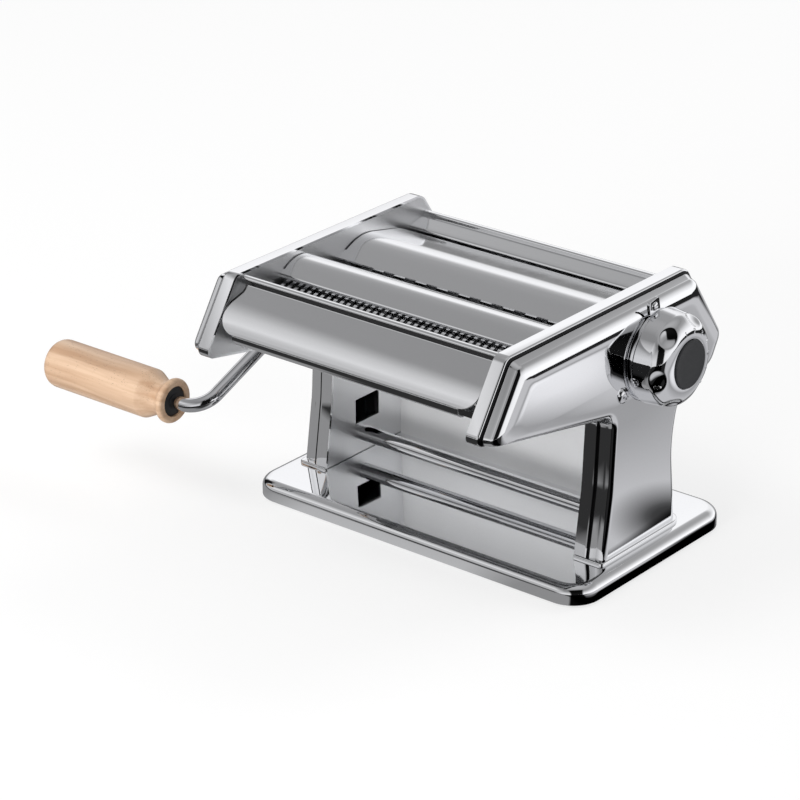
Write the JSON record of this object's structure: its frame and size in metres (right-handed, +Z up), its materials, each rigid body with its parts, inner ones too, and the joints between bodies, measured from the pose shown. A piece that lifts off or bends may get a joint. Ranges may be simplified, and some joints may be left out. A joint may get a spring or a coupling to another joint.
{
  "type": "pasta machine",
  "caption": "Hand cranked pasta machine with smooth rollers, wide and fine noodle cutters, chromed side casings on a tray base, a gap knob and a wooden crank grip.",
  "frame": {"origin": "on the table, at the middle of the base", "axes": "+X along the rollers to the knob side, -Y to the front where the noodles leave, +Z up"},
  "size_m": [0.3214, 0.1827, 0.1333],
  "materials": {
    "chrome": "mirror chromed sheet steel",
    "steel": "bright steel",
    "zinc": "plain steel",
    "brass": "sintered bearing bronze",
    "rubber": "moulded rubber",
    "black_plastic": "moulded plastic",
    "wood": "light beech, thin varnish"
  },
  "bodies": {
    "frame": {"base_plate": "chrome", "rubber_feet": "rubber", "base_screws": "zinc", "left_side_plate": "chrome", "right_side_plate": "chrome", "left_casing": "chrome", "right_casing": "chrome", "casing_posts": "zinc", "casing_screws": "chrome", "rear_panel": "chrome", "tie_bar": "chrome", "head_rods": "zinc", "rod_nuts": "zinc", "front_plate": "chrome", "front_cover": "chrome", "middle_cover": "chrome", "hopper_plate": "chrome", "cutter_bushes": "brass", "drive_bushes": "brass", "setting_bushes": "brass", "fine_comb_front": "steel", "fine_comb_rear": "steel", "wide_comb_front": "steel", "wide_comb_rear": "steel", "front_scraper": "steel", "rear_scraper": "steel", "dial_plate": "steel"},
    "drive_roller_body": {"drive_roller": "chrome", "drive_gear": "zinc"},
    "crank": {"crank_rod": "chrome", "grip_collar": "zinc"},
    "crank_grip": {"grip": "wood", "grip_bush": "black_plastic"},
    "setting": {"setting_shaft": "zinc", "knob_screw": "zinc"},
    "knob_body": {"knob": "chrome", "knob_cap": "black_plastic", "stop_pin": "zinc"},
    "gap_carrier": {"eccentric_rings": "brass"},
    "gap_roller_body": {"gap_roller": "chrome", "gap_gear": "zinc"},
    "fine_front": {"fine_cutter_front": "steel", "fine_gear_front": "zinc"},
    "fine_rear": {"fine_cutter_rear": "steel", "fine_gear_rear": "zinc"},
    "wide_front": {"wide_cutter_front": "steel", "wide_gear_front": "zinc"},
    "wide_rear": {"wide_cutter_rear": "steel", "wide_gear_rear": "zinc"}
  },
  "joints": [
    {"name": "drive_turn", "type": "hinge", "parent": "frame", "child": "drive_roller_body", "pos_m": [0, 0.0325, 0.0955], "axis": [1, 0, 0], "continuous": true},
    {"name": "crank_pull", "type": "slide", "parent": "drive_roller_body", "child": "crank", "axis": [-1, 0, 0], "range_m": [0, 0.014]},
    {"name": "grip_turn", "type": "hinge", "parent": "crank", "child": "crank_grip", "pos_m": [0, -0.07987, 0.0485], "axis": [1, 0, 0], "continuous": true},
    {"name": "knob_turn", "type": "hinge", "parent": "frame", "child": "setting", "pos_m": [0, 0.0075, 0.1035], "axis": [1, 0, 0], "range_deg": [0, 150]},
    {"name": "knob_pull", "type": "slide", "parent": "setting", "child": "knob_body", "axis": [1, 0, 0], "range_m": [0, 0.0025], "stiffness_N_per_m": 2000, "springref_m": -0.001},
    {"name": "ring_turn", "type": "hinge", "parent": "setting", "child": "gap_carrier", "pos_m": [0, 0.00658, 0.10379], "axis": [1, 0, 0], "range_deg": [-150, 0]},
    {"name": "gap_roller_turn", "type": "hinge", "parent": "gap_carrier", "child": "gap_roller_body", "pos_m": [0, 0.00658, 0.10379], "axis": [1, 0, 0], "continuous": true},
    {"name": "fine_rear_turn", "type": "hinge", "parent": "frame", "child": "fine_rear", "pos_m": [0, -0.062, 0.11], "axis": [1, 0, 0], "continuous": true},
    {"name": "fine_front_turn", "type": "hinge", "parent": "frame", "child": "fine_front", "pos_m": [0, -0.082, 0.11], "axis": [1, 0, 0], "continuous": true},
    {"name": "wide_rear_turn", "type": "hinge", "parent": "frame", "child": "wide_rear", "pos_m": [0, -0.0175, 0.107], "axis": [1, 0, 0], "continuous": true},
    {"name": "wide_front_turn", "type": "hinge", "parent": "frame", "child": "wide_front", "pos_m": [0, -0.0375, 0.107], "axis": [1, 0, 0], "continuous": true}
  ],
  "couplings": [
    {"joint": "gap_roller_turn", "follows": "drive_turn", "ratio": -1},
    {"joint": "ring_turn", "follows": "knob_turn", "ratio": -1},
    {"joint": "fine_front_turn", "follows": "fine_rear_turn", "ratio": -1},
    {"joint": "wide_front_turn", "follows": "wide_rear_turn", "ratio": -1}
  ]
}
